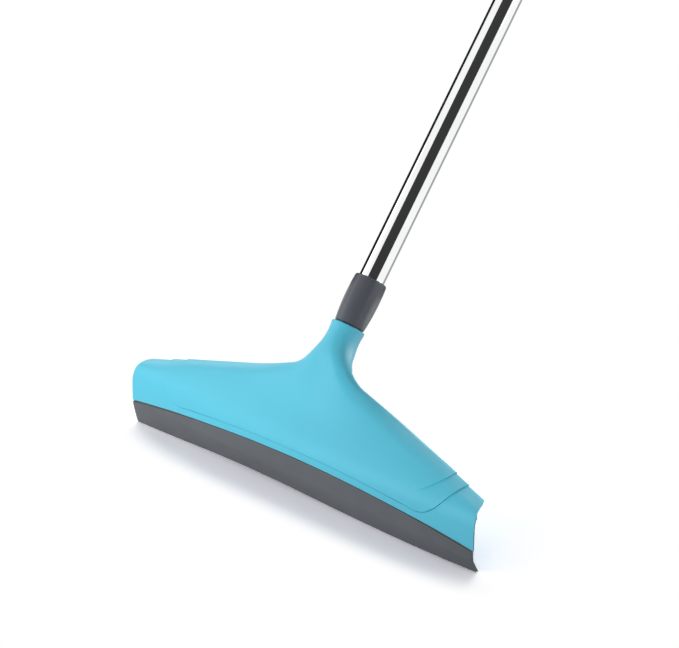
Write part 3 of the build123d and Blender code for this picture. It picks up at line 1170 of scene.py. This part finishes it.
def past_shadow(nodes):
    """A value that rises to 1 on the floor past a rounded, leaning box about the object's shadow."""
    place = nodes.add("TexCoord", {}, "Object")
    from_middle = nodes.add("VectorMath", {0: place, 1: shadow_middle}, operation="SUBTRACT")
    reaches = {}
    for axis, across in enumerate(shadow_sides):
        side = Vector(across) / shadow_reach[axis]
        reaches[axis] = nodes.add("VectorMath", {0: from_middle, 1: side}, "Value", operation="DOT_PRODUCT")
    box = nodes.add("CombineXYZ", reaches)
    square = nodes.add("VectorMath", {0: box, 1: box}, operation="MULTIPLY")
    distance = nodes.add("VectorMath", {0: square}, "Value", operation="LENGTH")
    fading = {"Value": distance, "From Min": shadow_fades_from, "From Max": 1}
    return nodes.add("MapRange", fading, interpolation_type="SMOOTHSTEP")


def make_floor():
    """A pale floor that keeps the shadow and is white past it where it is seen."""
    floor = plain_sheet("floor", (0, 0, 0), (floor_half_side, 0, 0), (0, floor_half_side, 0))
    nodes = cover(floor, "floor_white")
    seen = nodes.seen()
    gain = nodes.add("VectorMath", {0: floor_gain, "Scale": seen}, operation="SCALE")
    pale = nodes.add("BsdfDiffuse", {"Color": (*floor_colour, 1)})
    paler = nodes.add("AddShader", {0: pale, 1: nodes.add("BsdfDiffuse", {"Color": gain})})
    lift = nodes.add("Emission", {"Color": (*floor_lift, 1), "Strength": seen})
    white = nodes.add("Emission", {"Color": (1, 1, 1, 1)})
    beyond = nodes.add("Math", {0: past_shadow(nodes), 1: seen}, operation="MULTIPLY")
    lit = nodes.add("AddShader", {0: paler, 1: lift})
    nodes.fill("Material Output", {"Surface": nodes.add("MixShader", {"Fac": beyond, 1: lit, 2: white})})


def make_world():
    """White where it is seen or mirrored, and a weaker even light on everything."""
    world = bpy.data.worlds.new("studio")
    bpy.context.scene.world = world
    nodes = Nodes(world)
    strength = nodes.between(nodes.seen(), ambient_light, 1)
    nodes.fill("Background", {"Color": (1, 1, 1, 1), "Strength": strength})


def make_lamp(name, bearing, elevation, distance, power, shines):
    """A soft square lamp that points at the head, at a bearing counted from the head's front."""
    light = bpy.data.lights.new(name, "AREA")
    light.shape = "SQUARE"
    light.size = lamp_spread * distance
    light.energy = power
    bearing, elevation = radians(bearing), radians(elevation)
    level = cos(elevation)
    out = distance * Vector((level * sin(bearing), -level * cos(bearing), sin(elevation)))
    lamp = link_object(name, light)
    lamp.location = out + Vector((0, 0, lamp_aim_height))
    lamp.rotation_euler = (-out).to_track_quat("-Z", "Y").to_euler()
    lamp.visible_camera = False
    lamp.visible_glossy = shines


def beside_handle(bearing, half_angle, distance, low, high):
    """Middle and half sides of a card along the handle, at a bearing round it from the camera's side."""
    toward = camera_toward * cos(radians(bearing)) + camera_right * sin(radians(bearing))
    middle = (axis_base + (low + high) / 2 * UP_LEAN) * MM + toward * distance
    reach = distance * np.tan(radians(half_angle))
    return middle, np.cross(UP_LEAN, toward) * reach, UP_LEAN * (high - low) / 2 * MM


def facing(place, target, half_side):
    """Middle and half sides of a square card at a place, facing a target."""
    out = unit(np.array(target) - np.array(place))
    level = unit(np.cross(out, [0, 0, 1]))
    return np.array(place), level * half_side, np.cross(level, out) * half_side


def make_card(name, place, level):
    """A card that only reflections see."""
    card = plain_sheet(name, *place)
    card.visible_camera = False
    card.visible_diffuse = False
    card.visible_shadow = False
    nodes = cover(card, name)
    nodes.fill("Material Output", {"Surface": nodes.add("Emission", {"Color": (level, level, level, 1)})})


def make_camera():
    """The camera at the photograph's viewing angle."""
    data = bpy.data.cameras.new("camera")
    data.sensor_width = sensor_width
    data.lens = sensor_width * focal_pixels / image_width
    camera = link_object("camera", data)
    camera.location = camera_place * MM
    camera.rotation_euler = (pi / 2 - radians(camera_elevation), 0, radians(camera_bearing))
    bpy.context.scene.camera = camera


# Camera in millimetres, floor and lamps in metres
camera_bearing = 44.163
camera_elevation = 24.324
camera_place = np.array([1656.7, -1661.9, 1212.9])
image_width = 679
focal_pixels = 3202.4
sensor_width = 36
tube_seen_at = 400
camera_toward = unit(camera_place - (axis_base + tube_seen_at * UP_LEAN))
camera_toward = unit(camera_toward - (camera_toward @ UP_LEAN) * UP_LEAN)
camera_right = np.cross(UP_LEAN, camera_toward)
floor_half_side = 6
floor_colour = (0.52, 0.52, 0.53)
floor_gain = (0.84, 0.82, 0.80)
floor_lift = (0.0, 0.01, 0.05)
shadow_middle = (-0.025, 0.05, 0)
shadow_sides = ((1, 0.5, 0), (0, 1, 0))
shadow_reach = (0.25, 0.10)
shadow_fades_from = 0.56
ambient_light = 0.06
lamp_spread = 0.5
lamp_aim_height = 0.08
card_overlap = 4

# Lamps: bearing, elevation, distance in metres, watts, and whether reflections show the lamp
lamps = {
    "lamp_key": (336, 7, 0.75, 4.45, False),
    "lamp_left_back": (240, 40, 2, 10, True),
    "lamp_back": (198, 16, 2, 27, False),
    "lamp_back_high": (215, 45, 2, 9, True),
    "lamp_right": (85, 8, 2, 14.5, False),
    "lamp_top": (40, 64, 2, 6.0, True),
}

# Cards beside the handle: bearing, half angle, distance in metres, both ends in millimetres, and level
tube_low = collar_top - card_overlap
handle_cards = {
    "card_camera_side": (0, 41, 0.9, -300, 1700, 0.04),
    "card_left_edge": (-150, 46, 0.06, tube_low, 1300, 0.015),
    "card_right_side": (74, 24, 0.3, tube_low, 1300, 1.0),
    "card_right_edge": (142, 32, 0.06, tube_low, 1300, 0.38),
    "card_neck": (80, 30, 1.0, 480, 1060, 7.0),
    "card_collar": (96, 20, 0.1, 97, 137, 3.4),
}

# The card that the head's left end mirrors
left_card = facing(place=(-0.515, -0.27, 0.33), target=(-0.19, 0, 0.06), half_side=0.19)

bpy.context.scene.view_settings.view_transform = "Standard"
make_camera()
make_world()
make_floor()
for name, values in lamps.items():
    make_lamp(name, *values)
for name, (*place, level) in handle_cards.items():
    make_card(name, beside_handle(*place), level)
make_card("card_left_front", left_card, level=2.8)

# Where the noise of a cloudy colour begins and ends
cloud_ends = (0.3, 0.7)

# Moulded materials: colour, its variation, roughness, grain's scale and depth, and specular level
head_plastic = moulded("turquoise_plastic", (0.097, 0.565, 0.745), 0.012, (0.38, 0.44), 1400, 0.008, 0.45)
blade_rubber = moulded("blade_rubber", (0.129, 0.139, 0.150), 0.06, (0.5, 0.65), 1800, 0.02, 0.15)
collar_plastic = moulded("collar_plastic", (0.098, 0.108, 0.126), 0.05, (0.27, 0.33), 1500, 0.01, 0.24)
grip_rubber = moulded("grip_rubber", (0.070, 0.076, 0.086), 0.08, (0.6, 0.75), 1500, 0.03, 0.35)

make_head(head_plastic)
make_blade(blade_rubber)
make_clamp(head_plastic)
make_screws(steel())
make_washer(collar_plastic)
make_collar(collar_plastic)
make_tube(chrome())
make_grip(grip_rubber)
make_cap(collar_plastic)
